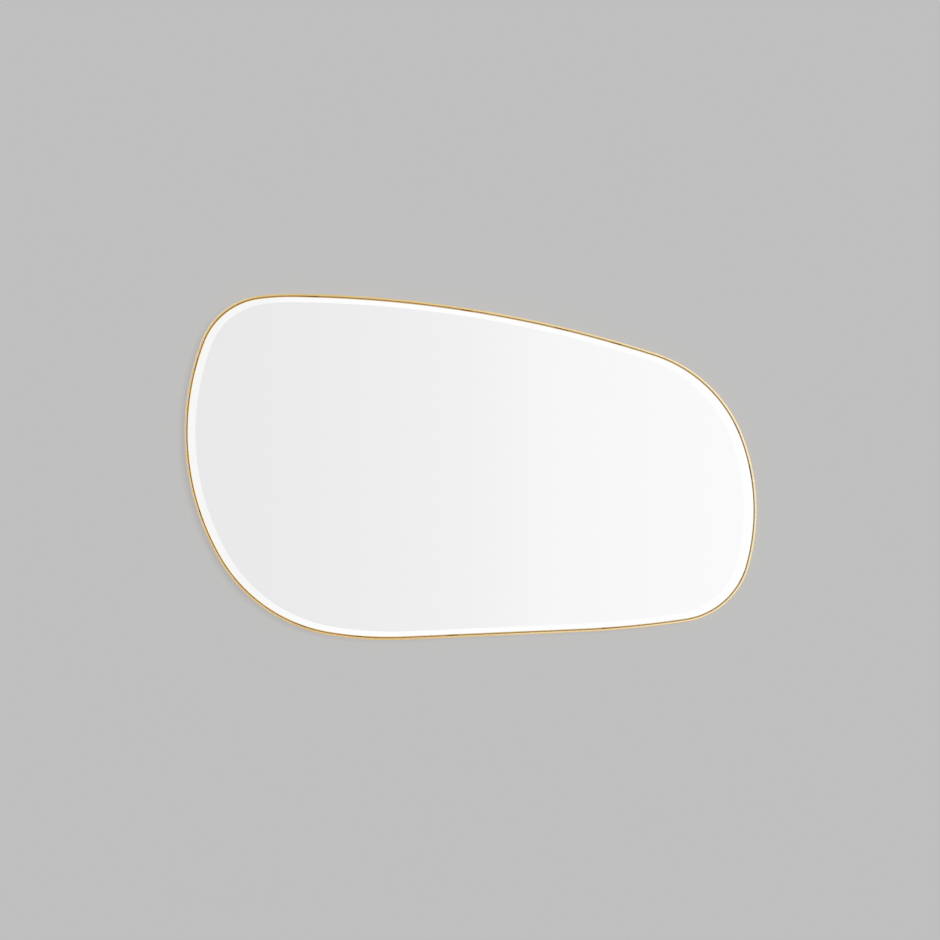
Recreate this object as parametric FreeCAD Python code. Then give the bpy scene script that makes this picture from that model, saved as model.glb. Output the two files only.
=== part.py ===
import FreeCAD, Part
import math
import os
from collections import namedtuple

# Irregular wall mirror: bevelled glass in a thin bent metal rim, hung on two ring hangers.
#
# Millimetres and degrees. X runs to the right as one faces the mirror, Z is up, and the room is
# towards -Y. The wall is the plane Y = 0. The origin lies in that plane, midway between the two
# points where the hanger rings bear on their wall hooks.

os.makedirs("parts", exist_ok=True)

Vector = FreeCAD.Vector
BACKWARDS = Vector(0, 1, 0)

# ---- Outline ----------------------------------------------------------------------------------
# The rim's outer edge, seen from the front and followed anticlockwise from the right-hand end of
# the straight run along the bottom. Each bend turns through an angle at a radius. The angle of the
# left side, and the radii of the left side and of the top, follow from the others so that the
# outline closes.
BOTTOM_RUN = 305.0
BOTTOM_SLOPE_ANGLE = 2.5
LOWER_RIGHT_SHOULDER_ANGLE = 6.0
LOWER_RIGHT_SHOULDER_RADIUS = 1800.0
LOWER_RIGHT_CORNER_ANGLE = 66.0
LOWER_RIGHT_CORNER_RADIUS = 135.0
RIGHT_SIDE_ANGLE = 36.0
RIGHT_SIDE_RADIUS = 365.0
UPPER_RIGHT_CORNER_ANGLE = 51.5
UPPER_RIGHT_CORNER_RADIUS = 245.0
TOP_ANGLE = 17.5
UPPER_LEFT_SHOULDER_ANGLE = 8.0
UPPER_LEFT_SHOULDER_RADIUS = 410.0
UPPER_LEFT_CORNER_ANGLE = 61.5
UPPER_LEFT_CORNER_RADIUS = 125.0
LOWER_LEFT_CORNER_ANGLE = 51.0
LOWER_LEFT_CORNER_RADIUS = 275.0
LOWER_LEFT_SHOULDER_ANGLE = 12.0
LOWER_LEFT_SHOULDER_RADIUS = 640.0

# ---- Rim --------------------------------------------------------------------------------------
RIM_DEPTH = 22.0
RIM_THICKNESS = 3.0
RIM_EDGE_ROUNDING = 0.5
RIM_OFF_WALL = 3.0
SEAT_GAP = 0.3
SEAM_GAP = 0.3
SEAM_TO_RUN = 51.0
SPLICE_LENGTH = 70.0
SPLICE_THICKNESS = 2.0
SPLICE_BEHIND_LAYERS = 0.5
SPLICE_INSIDE_REAR_EDGE = 1.0

# ---- Glass and the layers behind it -----------------------------------------------------------
GLASS_RECESS = 2.0
GLASS_THICKNESS = 5.0
GLASS_CLEARANCE = 1.6
BEVEL_WIDTH = 8.5
BEVEL_EXTRA_AT_SIDES = 7.0
BEVEL_DROP = 2.5
RIDGE_TO_LEFT = 1.5
SILVER_THICKNESS = 0.2
SILVER_MARGIN = 0.3
FILM_THICKNESS = 0.3
FILM_MARGIN = 2.0
TAPE_THICKNESS = 1.5
TAPE_WIDTH = 25.0
TAPE_COUNT = 7
TAPE_SPACING = 130.0
TAPE_MARGIN = 18.0
BOARD_THICKNESS = 9.0
BOARD_CLEARANCE = 4.0
EDGE_PAD_WIDTH = 25.0
EDGE_PAD_DEPTH = 2.8
EDGE_PAD_GAP = 0.4
EDGE_PAD_START = 60.0

# ---- Clips that hold the board in the rim -----------------------------------------------------
CLIP_COUNT = 10
CLIP_WIDTH = 20.0
CLIP_THICKNESS = 1.5
CLIP_LEG = 8.0
CLIP_FOOT = 18.0
CLIP_HOLE_INSET = 11.0

# ---- Screws -----------------------------------------------------------------------------------
SCREW_RADIUS = 1.6
SCREW_REACH = 7.0
SCREW_TIP = 2.5
SCREW_HEAD_RADIUS = 3.4
SCREW_HEAD_HEIGHT = 2.0
SCREW_HEAD_ROUNDING = 0.8
SCREW_RECESS_WIDTH = 0.9
SCREW_RECESS_LENGTH = 4.0
SCREW_RECESS_DEPTH = 1.2
SCREW_HOLE_CLEARANCE = 0.3

# ---- Ring hangers -----------------------------------------------------------------------------
HOOK_SPACING = 500.0
HOOK_ABOVE_CENTRE = 150.0
RING_WIRE_RADIUS = 1.5
RING_HALF_WIDTH = 12.0
RING_CORNER_RADIUS = 3.0
RING_STRAIGHT = 5.0
STRAP_WIDTH = 15.0
STRAP_THICKNESS = 1.2
STRAP_LENGTH = 38.0
STRAP_END_ROUNDING = 5.0
STRAP_FIRST_SCREW = 11.0
STRAP_SECOND_SCREW = 29.0
RING_CLEARANCE = 0.1
RING_REST_GAP = 0.3

# ---- Wall bumpers -----------------------------------------------------------------------------
BUMPER_RADIUS = 10.0
BUMPER_TAPER = 1.0
BUMPER_ROUNDING = 1.0
BUMPER_INSET = 45.0

# ---- Where the layers lie, from the rim's front edge to the back of the board -----------------
WALL_Y = 0.0
RIM_BACK_Y = WALL_Y - RIM_OFF_WALL
RIM_FRONT_Y = RIM_BACK_Y - RIM_DEPTH
GLASS_FRONT_Y = RIM_FRONT_Y + GLASS_RECESS
BEVEL_EDGE_Y = GLASS_FRONT_Y + BEVEL_DROP
GLASS_BACK_Y = GLASS_FRONT_Y + GLASS_THICKNESS
SILVER_BACK_Y = GLASS_BACK_Y + SILVER_THICKNESS
FILM_BACK_Y = SILVER_BACK_Y + FILM_THICKNESS
BOARD_FRONT_Y = FILM_BACK_Y + TAPE_THICKNESS
BOARD_BACK_Y = BOARD_FRONT_Y + BOARD_THICKNESS

# ---- How far each edge lies inside the rim's outer edge ---------------------------------------
SEAT_INSET = RIM_THICKNESS + SEAT_GAP
GLASS_INSET = RIM_THICKNESS + GLASS_CLEARANCE
BOARD_INSET = RIM_THICKNESS + BOARD_CLEARANCE

# The straight run's outer edge faces this way, with 0 to the right and 90 straight up.
BOTTOM_FACING = BOTTOM_SLOPE_ANGLE - 90.0

Bend = namedtuple("Bend", "x z radius start turn")
Place = namedtuple("Place", "x z facing")


def direction(angle):
    """Unit vector in the plane of the mirror, as X and Z."""
    return math.cos(math.radians(angle)), math.sin(math.radians(angle))


def closing_radii(known_x, known_z, first, second):
    """Radii of two bends that bring the outline back to its start, from the bends' unit steps."""
    cross = first[0] * second[1] - first[1] * second[0]
    first_radius = (known_z * second[0] - known_x * second[1]) / cross
    second_radius = (known_x * first[1] - known_z * first[0]) / cross
    return first_radius, second_radius


def reach(bends, angle):
    """How far a closed chain of bends reaches from the origin in one direction."""
    x, z = direction(angle)
    for bend in bends:
        if (angle - bend.start) % 360 <= bend.turn:
            return bend.x * x + bend.z * z + bend.radius


def outline_bends(inset=0.0, narrowing=0.0):
    """The outline's bends, drawn in by an inset, with its middle on the mirror's centre.

    A narrowing shortens the bottom run at each end, and draws in the left and right by as much.
    """
    angles_and_radii = [
        [LOWER_RIGHT_SHOULDER_ANGLE, LOWER_RIGHT_SHOULDER_RADIUS - inset],
        [LOWER_RIGHT_CORNER_ANGLE, LOWER_RIGHT_CORNER_RADIUS - inset],
        [RIGHT_SIDE_ANGLE, RIGHT_SIDE_RADIUS - inset],
        [UPPER_RIGHT_CORNER_ANGLE, UPPER_RIGHT_CORNER_RADIUS - inset],
        [TOP_ANGLE, None],
        [UPPER_LEFT_SHOULDER_ANGLE, UPPER_LEFT_SHOULDER_RADIUS - inset],
        [UPPER_LEFT_CORNER_ANGLE, UPPER_LEFT_CORNER_RADIUS - inset],
        [None, None],
        [LOWER_LEFT_CORNER_ANGLE, LOWER_LEFT_CORNER_RADIUS - inset],
        [LOWER_LEFT_SHOULDER_ANGLE, LOWER_LEFT_SHOULDER_RADIUS - inset],
    ]
    left_angle = 360.0 - sum(angle for angle, radius in angles_and_radii if angle is not None)
    for row in angles_and_radii:
        if row[0] is None:
            row[0] = left_angle

    run_x, run_z = direction(BOTTOM_SLOPE_ANGLE)
    run = BOTTOM_RUN - 2 * narrowing
    known_x = run * run_x
    known_z = run * run_z
    open_steps = []
    facing = BOTTOM_FACING
    for turn, radius in angles_and_radii:
        start_x, start_z = direction(facing)
        facing += turn
        end_x, end_z = direction(facing)
        step = (end_x - start_x, end_z - start_z)
        if radius is None:
            open_steps.append(step)
        else:
            known_x += radius * step[0]
            known_z += radius * step[1]
    found = iter(closing_radii(known_x, known_z, *open_steps))

    bends = []
    x = 0.0
    z = 0.0
    facing = BOTTOM_FACING
    for turn, radius in angles_and_radii:
        if radius is None:
            radius = next(found)
        start_x, start_z = direction(facing)
        centre_x = x - radius * start_x
        centre_z = z - radius * start_z
        bends.append(Bend(centre_x, centre_z, radius, facing, turn))
        facing += turn
        end_x, end_z = direction(facing)
        x = centre_x + radius * end_x
        z = centre_z + radius * end_z

    shift_x = (reach(bends, 180) - reach(bends, 0)) / 2
    shift_z = (reach(bends, 270) - reach(bends, 90)) / 2 - HOOK_ABOVE_CENTRE
    return [bend._replace(x=bend.x + shift_x, z=bend.z + shift_z) for bend in bends]


def point_on(bend, angle, y):
    x, z = direction(angle)
    return Vector(bend.x + bend.radius * x, y, bend.z + bend.radius * z)


def outline_wire(inset, y, narrowing=0.0):
    """Closed wire of the outline: one arc for each bend, and the straight run along the bottom."""
    bends = outline_bends(inset, narrowing)
    edges = []
    for bend in bends:
        start = point_on(bend, bend.start, y)
        middle = point_on(bend, bend.start + bend.turn / 2, y)
        end = point_on(bend, bend.start + bend.turn, y)
        edges.append(Part.Arc(start, middle, end).toShape())
    last = bends[-1]
    run_start = point_on(last, last.start + last.turn, y)
    run_end = point_on(bends[0], bends[0].start, y)
    edges.append(Part.LineSegment(run_start, run_end).toShape())
    return Part.Wire(edges)


def slab(inset, front_y, back_y):
    """Flat slab of the outline's shape."""
    return Part.Face(outline_wire(inset, front_y)).extrude(BACKWARDS * (back_y - front_y))


def ring_of(outer_inset, inner_inset, front_y, back_y):
    """Band between two insets of the outline."""
    return slab(outer_inset, front_y, back_y).cut(slab(inner_inset, front_y, back_y))


def bends_length():
    """Length of the outer edge without the straight run."""
    return sum(bend.radius * math.radians(bend.turn) for bend in outline_bends())


def place_along(distance, inset=0.0):
    """Place that lies a distance anticlockwise along the outer edge, then an inset inwards."""
    bends = outline_bends()
    distance %= bends_length() + BOTTOM_RUN
    for bend in bends:
        length = bend.radius * math.radians(bend.turn)
        if distance <= length:
            facing = bend.start + math.degrees(distance / bend.radius)
            point = point_on(bend, facing, 0)
            break
        distance -= length
    else:
        facing = BOTTOM_FACING
        run_x, run_z = direction(BOTTOM_SLOPE_ANGLE)
        end = point_on(bends[-1], facing + 360.0, 0)
        point = end + Vector(run_x, 0, run_z) * distance
    x, z = direction(facing)
    return Place(point.x - inset * x, point.z - inset * z, facing)


def place_facing(facing, inset):
    """Place on the outline where it faces a given way, then an inset inwards."""
    x, z = direction(facing)
    for bend in outline_bends(inset):
        if (facing - bend.start) % 360 <= bend.turn:
            return Place(bend.x + bend.radius * x, bend.z + bend.radius * z, facing)


def block_at(place, width, inner, outer, front_y, back_y):
    """Block that straddles a place: a width along the edge, and from inner to outer across it."""
    block = Part.makeBox(inner + outer, back_y - front_y, width, Vector(-inner, front_y, -width / 2))
    block.rotate(Vector(0, 0, 0), BACKWARDS, -place.facing)
    block.translate(Vector(place.x, 0, place.z))
    return block


def band_piece(place, width, outer_inset, inner_inset, front_y, back_y):
    """Short length of the band between two insets of the outline."""
    window = block_at(place, width, inner_inset + width, 0, front_y, back_y)
    return ring_of(outer_inset, inner_inset, front_y, back_y).common(window)


def screw(x, z, seat_y):
    """Pan-head wood screw, driven forwards from its seat into the board."""
    shank = Part.makeCylinder(SCREW_RADIUS, SCREW_REACH - SCREW_TIP, Vector(0, 0, 0), -BACKWARDS)
    tip_start = -BACKWARDS * (SCREW_REACH - SCREW_TIP)
    tip = Part.makeCone(SCREW_RADIUS, SCREW_RADIUS / 4, SCREW_TIP, tip_start, -BACKWARDS)
    head = Part.makeCylinder(SCREW_HEAD_RADIUS, SCREW_HEAD_HEIGHT, Vector(0, 0, 0), BACKWARDS)
    rim_edges = [edge for edge in head.Edges if edge.BoundBox.YMin > SCREW_HEAD_HEIGHT / 2]
    head = head.makeFillet(SCREW_HEAD_ROUNDING, rim_edges)
    recess_y = SCREW_HEAD_HEIGHT - SCREW_RECESS_DEPTH
    for length, width in [
        (SCREW_RECESS_LENGTH, SCREW_RECESS_WIDTH),
        (SCREW_RECESS_WIDTH, SCREW_RECESS_LENGTH),
    ]:
        corner = Vector(-length / 2, recess_y, -width / 2)
        head = head.cut(Part.makeBox(length, SCREW_RECESS_DEPTH, width, corner))
    whole = head.fuse([shank, tip]).removeSplitter()
    whole.translate(Vector(x, seat_y, z))
    return whole


def hole(x, z, radius, front_y, back_y):
    return Part.makeCylinder(radius, back_y - front_y, Vector(x, front_y, z), BACKWARDS)


# ---- Places of what repeats -------------------------------------------------------------------
SEAM_DISTANCE = bends_length() - SEAM_TO_RUN
SEAM_PLACE = place_along(SEAM_DISTANCE)
CLIP_STEP = (bends_length() + BOTTOM_RUN) / CLIP_COUNT
CLIP_DISTANCES = [SEAM_DISTANCE + (index + 0.5) * CLIP_STEP for index in range(CLIP_COUNT)]
EDGE_PAD_NAMES = ["bottom_right", "right", "top_right", "top_left", "left", "bottom_left"]
EDGE_PAD_STEP = (bends_length() + BOTTOM_RUN) / len(EDGE_PAD_NAMES)
BUMPER_FACINGS = {"top_right": 50.0, "top_left": 130.0, "bottom_left": 232.0, "bottom_right": 308.0}
HANGER_SIDES = {"left": -1, "right": 1}

# ---- Ring hanger, worked out from its own sizes -----------------------------------------------
BARREL_BORE_RADIUS = RING_WIRE_RADIUS + RING_CLEARANCE
BARREL_RADIUS = BARREL_BORE_RADIUS + STRAP_THICKNESS
RING_HEIGHT = RING_CORNER_RADIUS + RING_STRAIGHT + RING_HALF_WIDTH
RING_LEAN = math.degrees(math.asin((BARREL_RADIUS - RING_WIRE_RADIUS - RING_REST_GAP) / RING_HEIGHT))
PIVOT_Y = BOARD_BACK_Y + BARREL_RADIUS
PIVOT_Z = RING_WIRE_RADIUS - RING_HEIGHT
STRAP_BACK_Y = BOARD_BACK_Y + STRAP_THICKNESS


def hanger_screw_places():
    return [
        (side * HOOK_SPACING / 2, PIVOT_Z - distance)
        for side in HANGER_SIDES.values()
        for distance in (STRAP_FIRST_SCREW, STRAP_SECOND_SCREW)
    ]


def clip_screw_places():
    places = [place_along(distance, SEAT_INSET + CLIP_HOLE_INSET) for distance in CLIP_DISTANCES]
    return [(place.x, place.z) for place in places]


def frame_rim():
    """Flat strip bent on edge round the glass, its two ends meeting at a hairline seam."""
    rim = ring_of(0, RIM_THICKNESS, RIM_FRONT_Y, RIM_BACK_Y)
    front_edges = [edge for edge in rim.Edges if edge.BoundBox.YMax < RIM_FRONT_Y + RIM_EDGE_ROUNDING]
    rim = rim.makeFillet(RIM_EDGE_ROUNDING, front_edges)
    seam = block_at(SEAM_PLACE, SEAM_GAP, 2 * RIM_THICKNESS, RIM_THICKNESS, RIM_FRONT_Y, RIM_BACK_Y)
    return rim.cut(seam)


def seam_splice():
    """Plate inside the rim that joins the strip's ends behind the seam."""
    front_y = FILM_BACK_Y + SPLICE_BEHIND_LAYERS
    back_y = RIM_BACK_Y - SPLICE_INSIDE_REAR_EDGE
    inner_inset = SEAT_INSET + SPLICE_THICKNESS
    return band_piece(SEAM_PLACE, SPLICE_LENGTH, SEAT_INSET, inner_inset, front_y, back_y)


def mirror_glass():
    """Float glass: an upright edge at the back, then a bevel up to the ridge of the flat face.

    The bevel is wider at the sides, and the ridge lies a little to the left of the middle.
    """
    ridge = outline_wire(GLASS_INSET + BEVEL_WIDTH, GLASS_FRONT_Y, BEVEL_EXTRA_AT_SIDES)
    ridge.translate(Vector(-RIDGE_TO_LEFT, 0, 0))
    sections = [
        outline_wire(GLASS_INSET, GLASS_BACK_Y),
        outline_wire(GLASS_INSET, BEVEL_EDGE_Y),
        ridge,
    ]
    return Part.makeLoft(sections, True, True)


def silver_layer():
    return slab(GLASS_INSET + SILVER_MARGIN, GLASS_BACK_Y, SILVER_BACK_Y)


def safety_film():
    return slab(GLASS_INSET + FILM_MARGIN, SILVER_BACK_Y, FILM_BACK_Y)


def mounting_tape():
    """Upright strips of foam tape between the film and the board."""
    field = slab(BOARD_INSET + TAPE_MARGIN, FILM_BACK_Y, BOARD_FRONT_Y)
    box = field.BoundBox
    strips = []
    for index in range(TAPE_COUNT):
        middle_x = (index - (TAPE_COUNT - 1) / 2) * TAPE_SPACING
        corner = Vector(middle_x - TAPE_WIDTH / 2, FILM_BACK_Y, box.ZMin)
        strip = Part.makeBox(TAPE_WIDTH, TAPE_THICKNESS, box.ZLength, corner)
        strips.append(field.common(strip))
    return Part.makeCompound([solid for strip in strips for solid in strip.Solids])


def backing_board():
    """Board with a pilot hole for each screw."""
    board = slab(BOARD_INSET, BOARD_FRONT_Y, BOARD_BACK_Y)
    pilots = []
    for x, z in clip_screw_places():
        pilots.append(hole(x, z, SCREW_RADIUS, BOARD_FRONT_Y, BOARD_BACK_Y))
    for x, z in hanger_screw_places():
        pilots.append(hole(x, z, SCREW_RADIUS, BOARD_FRONT_Y, BOARD_BACK_Y))
    return board.cut(pilots)


def edge_pad(distance):
    """Soft pad that centres the glass in the rim and carries its edge."""
    back_y = GLASS_BACK_Y + (EDGE_PAD_DEPTH - (GLASS_THICKNESS - BEVEL_DROP))
    front_y = back_y - EDGE_PAD_DEPTH
    outer_inset = RIM_THICKNESS + EDGE_PAD_GAP
    inner_inset = GLASS_INSET - EDGE_PAD_GAP
    place = place_along(distance)
    return band_piece(place, EDGE_PAD_WIDTH, outer_inset, inner_inset, front_y, back_y)


def board_clip(distance):
    """Angle clip: a leg on the inside of the rim, and a foot on the back of the board."""
    place = place_along(distance)
    foot_back_y = BOARD_BACK_Y + CLIP_THICKNESS
    leg_front_y = BOARD_BACK_Y - CLIP_LEG
    leg_inset = SEAT_INSET + CLIP_THICKNESS
    leg = band_piece(place, CLIP_WIDTH, SEAT_INSET, leg_inset, leg_front_y, foot_back_y)
    foot = block_at(place, CLIP_WIDTH, SEAT_INSET + CLIP_FOOT, 0, BOARD_BACK_Y, foot_back_y)
    foot = foot.common(slab(SEAT_INSET, BOARD_BACK_Y, foot_back_y))
    screw_place = place_along(distance, SEAT_INSET + CLIP_HOLE_INSET)
    screw_hole = hole(
        screw_place.x, screw_place.z, SCREW_RADIUS + SCREW_HOLE_CLEARANCE, BOARD_BACK_Y, foot_back_y
    )
    return leg.fuse(foot).removeSplitter().cut(screw_hole)


def clip_screws():
    seat_y = BOARD_BACK_Y + CLIP_THICKNESS
    return Part.makeCompound([screw(x, z, seat_y) for x, z in clip_screw_places()])


def hanger_screws():
    return Part.makeCompound([screw(x, z, STRAP_BACK_Y) for x, z in hanger_screw_places()])


def hanger_strap(side):
    """Strap screwed to the board, its upper end rolled round the ring's bar."""
    x = side * HOOK_SPACING / 2
    left = x - STRAP_WIDTH / 2
    along_x = Vector(1, 0, 0)
    barrel_start = Vector(left, PIVOT_Y, PIVOT_Z)
    barrel = Part.makeCylinder(BARREL_RADIUS, STRAP_WIDTH, barrel_start, along_x)
    corner = Vector(left, BOARD_BACK_Y, PIVOT_Z - STRAP_LENGTH)
    plate = Part.makeBox(STRAP_WIDTH, STRAP_THICKNESS, STRAP_LENGTH, corner)
    lower_edges = [
        edge for edge in plate.Edges
        if edge.BoundBox.YLength > STRAP_THICKNESS / 2 and edge.BoundBox.ZMax < PIVOT_Z - STRAP_LENGTH / 2
    ]
    plate = plate.makeFillet(STRAP_END_ROUNDING, lower_edges)
    strap = plate.fuse(barrel)
    strap = strap.cut(Part.makeCylinder(BARREL_BORE_RADIUS, STRAP_WIDTH, barrel_start, along_x))
    for distance in (STRAP_FIRST_SCREW, STRAP_SECOND_SCREW):
        radius = SCREW_RADIUS + SCREW_HOLE_CLEARANCE
        strap = strap.cut(hole(x, PIVOT_Z - distance, radius, BOARD_BACK_Y, STRAP_BACK_Y))
    return strap


def hanger_ring(side):
    """Wire ring standing up from its strap and leaning on the board.

    It has a bar, two round corners, two straight sides and a half-round bow.
    """
    x = side * HOOK_SPACING / 2
    half_bar = RING_HALF_WIDTH - RING_CORNER_RADIUS
    shoulder_z = RING_CORNER_RADIUS + RING_STRAIGHT
    corner_mid = RING_CORNER_RADIUS * math.sqrt(0.5)

    def at(across, up):
        return Vector(x + across, PIVOT_Y, PIVOT_Z + up)

    def line(start, end):
        return Part.LineSegment(start, end).toShape()

    def arc(start, middle, end):
        return Part.Arc(start, middle, end).toShape()

    edges = [
        line(at(-half_bar, 0), at(half_bar, 0)),
        arc(
            at(half_bar, 0),
            at(half_bar + corner_mid, RING_CORNER_RADIUS - corner_mid),
            at(RING_HALF_WIDTH, RING_CORNER_RADIUS),
        ),
        line(at(RING_HALF_WIDTH, RING_CORNER_RADIUS), at(RING_HALF_WIDTH, shoulder_z)),
        arc(at(RING_HALF_WIDTH, shoulder_z), at(0, RING_HEIGHT), at(-RING_HALF_WIDTH, shoulder_z)),
        line(at(-RING_HALF_WIDTH, shoulder_z), at(-RING_HALF_WIDTH, RING_CORNER_RADIUS)),
        arc(
            at(-RING_HALF_WIDTH, RING_CORNER_RADIUS),
            at(-half_bar - corner_mid, RING_CORNER_RADIUS - corner_mid),
            at(-half_bar, 0),
        ),
    ]
    section = Part.Wire(Part.makeCircle(RING_WIRE_RADIUS, at(-half_bar, 0), Vector(1, 0, 0)))
    ring = Part.Wire(edges).makePipeShell([section], True, False)
    ring.rotate(at(0, 0), Vector(1, 0, 0), RING_LEAN)
    return ring


def wall_bumper(facing):
    """Rubber bumper on the board that holds the mirror off the wall."""
    place = place_facing(facing, BUMPER_INSET)
    height = WALL_Y - BOARD_BACK_Y
    foot = Vector(place.x, BOARD_BACK_Y, place.z)
    bumper = Part.makeCone(BUMPER_RADIUS, BUMPER_RADIUS - BUMPER_TAPER, height, foot, BACKWARDS)
    wall_edges = [edge for edge in bumper.Edges if edge.BoundBox.YMin > WALL_Y - height / 2]
    return bumper.makeFillet(BUMPER_ROUNDING, wall_edges)


# ---- Build and write --------------------------------------------------------------------------
pieces = {
    "frame_rim": frame_rim(),
    "seam_splice": seam_splice(),
    "mirror_glass": mirror_glass(),
    "silver_layer": silver_layer(),
    "safety_film": safety_film(),
    "mounting_tape": mounting_tape(),
    "backing_board": backing_board(),
    "clip_screws": clip_screws(),
    "hanger_screws": hanger_screws(),
}
for index, name in enumerate(EDGE_PAD_NAMES):
    pieces["edge_pad_" + name] = edge_pad(EDGE_PAD_START + index * EDGE_PAD_STEP)
for index, distance in enumerate(CLIP_DISTANCES):
    pieces["board_clip_%02d" % (index + 1)] = board_clip(distance)
for name, side in HANGER_SIDES.items():
    pieces["hanger_strap_" + name] = hanger_strap(side)
    pieces["hanger_ring_" + name] = hanger_ring(side)
for name, facing in BUMPER_FACINGS.items():
    pieces["wall_bumper_" + name] = wall_bumper(facing)

for name, shape in pieces.items():
    shape.exportStep("parts/%s.step" % name)
    print("%-26s %2d solids  %11.1f mm3" % (name, len(shape.Solids), shape.Volume))
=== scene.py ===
import math
from collections import namedtuple

import bmesh
import bpy
from mathutils import Matrix, Vector


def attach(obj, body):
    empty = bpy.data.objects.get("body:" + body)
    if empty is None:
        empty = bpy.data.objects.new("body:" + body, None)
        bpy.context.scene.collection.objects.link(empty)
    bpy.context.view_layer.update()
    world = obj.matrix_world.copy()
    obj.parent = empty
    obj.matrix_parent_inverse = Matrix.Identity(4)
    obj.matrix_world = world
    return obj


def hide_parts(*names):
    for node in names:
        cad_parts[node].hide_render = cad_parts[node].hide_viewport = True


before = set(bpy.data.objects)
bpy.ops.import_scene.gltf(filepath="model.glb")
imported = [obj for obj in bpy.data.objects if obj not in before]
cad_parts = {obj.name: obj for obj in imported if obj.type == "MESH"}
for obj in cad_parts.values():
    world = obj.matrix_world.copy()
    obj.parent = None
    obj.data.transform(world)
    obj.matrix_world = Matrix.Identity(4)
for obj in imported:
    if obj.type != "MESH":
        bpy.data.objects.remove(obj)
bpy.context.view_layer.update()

# Irregular wall mirror: bevelled glass in a thin gold-toned rim, on a board with two ring hangers.
#
# Meshes are drawn in millimetres in the part's own frame and brought to metres when they are
# finished. X runs to the right as one faces the mirror, Z is up, and the wall is the plane Y = 0.
MM = 0.001
TOWARDS_VIEWER = Vector((0, -1, 0))
ALONG_X = Vector((1, 0, 0))

# ---- Outline of the rim's outer edge, anticlockwise from the right end of the bottom run ----
BOTTOM_RUN = 305.0
BOTTOM_SLOPE_ANGLE = 2.5
OUTLINE_ANGLES_AND_RADII = [
    (6.0, 1800.0),   # lower right shoulder
    (66.0, 135.0),   # lower right corner
    (36.0, 365.0),   # right side
    (51.5, 245.0),   # upper right corner
    (17.5, None),    # top, at the radius that closes the outline
    (8.0, 410.0),    # upper left shoulder
    (61.5, 125.0),   # upper left corner
    (50.5, None),    # left side, at the radius that closes the outline
    (51.0, 275.0),   # lower left corner
    (12.0, 640.0),   # lower left shoulder
]
HOOK_ABOVE_CENTRE = 150.0
BOTTOM_FACING = BOTTOM_SLOPE_ANGLE - 90.0

# ---- Depths, as Y, and insets from the outer edge ----
RIM_FRONT_Y = -25.0
RIM_BACK_Y = -3.0
RIM_THICKNESS = 3.0
RIM_FRONT_ROUNDING = 0.5
RIM_BACK_ROUNDING = 0.2
SEAT_INSET = 3.3
SEAM_GAP = 0.3
SEAM_TO_RUN = 51.0
SEAM_END_ROUNDING = 0.2
SPLICE_LENGTH = 70.0
SPLICE_THICKNESS = 2.0
SPLICE_FRONT_Y = -17.0
SPLICE_BACK_Y = -4.0
GLASS_INSET = 4.6
GLASS_FRONT_Y = -23.0
BEVEL_EDGE_Y = -20.5
GLASS_BACK_Y = -18.0
GLASS_ARRIS = 0.4
BEVEL_WIDTH = 8.5
BEVEL_EXTRA_AT_SIDES = 7.0
RIDGE_TO_LEFT = 1.5
BOARD_INSET = 7.0
BOARD_FRONT_Y = -16.0
BOARD_BACK_Y = -7.0
BOARD_EDGE_ROUNDING = 0.7

# ---- Clips, screws, hangers and bumpers ----
CLIP_COUNT = 10
CLIP_WIDTH = 20.0
CLIP_THICKNESS = 1.5
CLIP_FOOT = 18.0
CLIP_LEG = 8.0
CLIP_BEND_ROUNDING = 2.5
CLIP_CORNER_ROUNDING = 3.0
CLIP_HOLE_INSET = 11.0
SCREW_RADIUS = 1.6
SCREW_REACH = 7.0
SCREW_TIP = 2.5
SCREW_TIP_RADIUS = 0.4
SCREW_HEAD_RADIUS = 3.4
SCREW_HEAD_HEIGHT = 2.0
SCREW_HEAD_ROUNDING = 0.8
SCREW_HEAD_ARRIS = 0.15
SCREW_STOP_ANGLE = 37.0
RECESS_HALF_WIDTH = 0.45
RECESS_HALF_LENGTH = 2.0
RECESS_DEPTH = 1.2
RECESS_FLOOR_SHARE = 0.62
HOOK_SPACING = 500.0
WIRE_RADIUS = 1.5
RING_HALF_WIDTH = 12.0
RING_CORNER_RADIUS = 3.0
RING_STRAIGHT = 5.0
RING_LEAN_ANGLE = 2.87
STRAP_WIDTH = 15.0
STRAP_THICKNESS = 1.2
STRAP_LENGTH = 38.0
STRAP_END_ROUNDING = 5.0
STRAP_ROLL_ANGLE = 300.0
STRAP_SCREWS_BELOW_PIVOT = (11.0, 29.0)
BARREL_RADIUS = 2.8
PIVOT_Y = -4.2
PIVOT_Z = -18.5
BUMPER_RADIUS = 10.0
BUMPER_TAPER = 1.0
BUMPER_ROUNDING = 1.0
BUMPER_INSET = 45.0
BUMPER_FOOT = [(0.4, 0.0), (0.1, 0.3)]  # inset from its side, and height
BUMPER_DISH = [(4.6, 0.0), (4.2, 0.15), (3.6, 0.6), (0.0, 0.7)]  # radius, and depth
BUMPER_FACINGS = {"top_right": 50.0, "top_left": 130.0, "bottom_left": 232.0, "bottom_right": 308.0}
HANGER_SIDES = {"left": -1, "right": 1}

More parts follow.
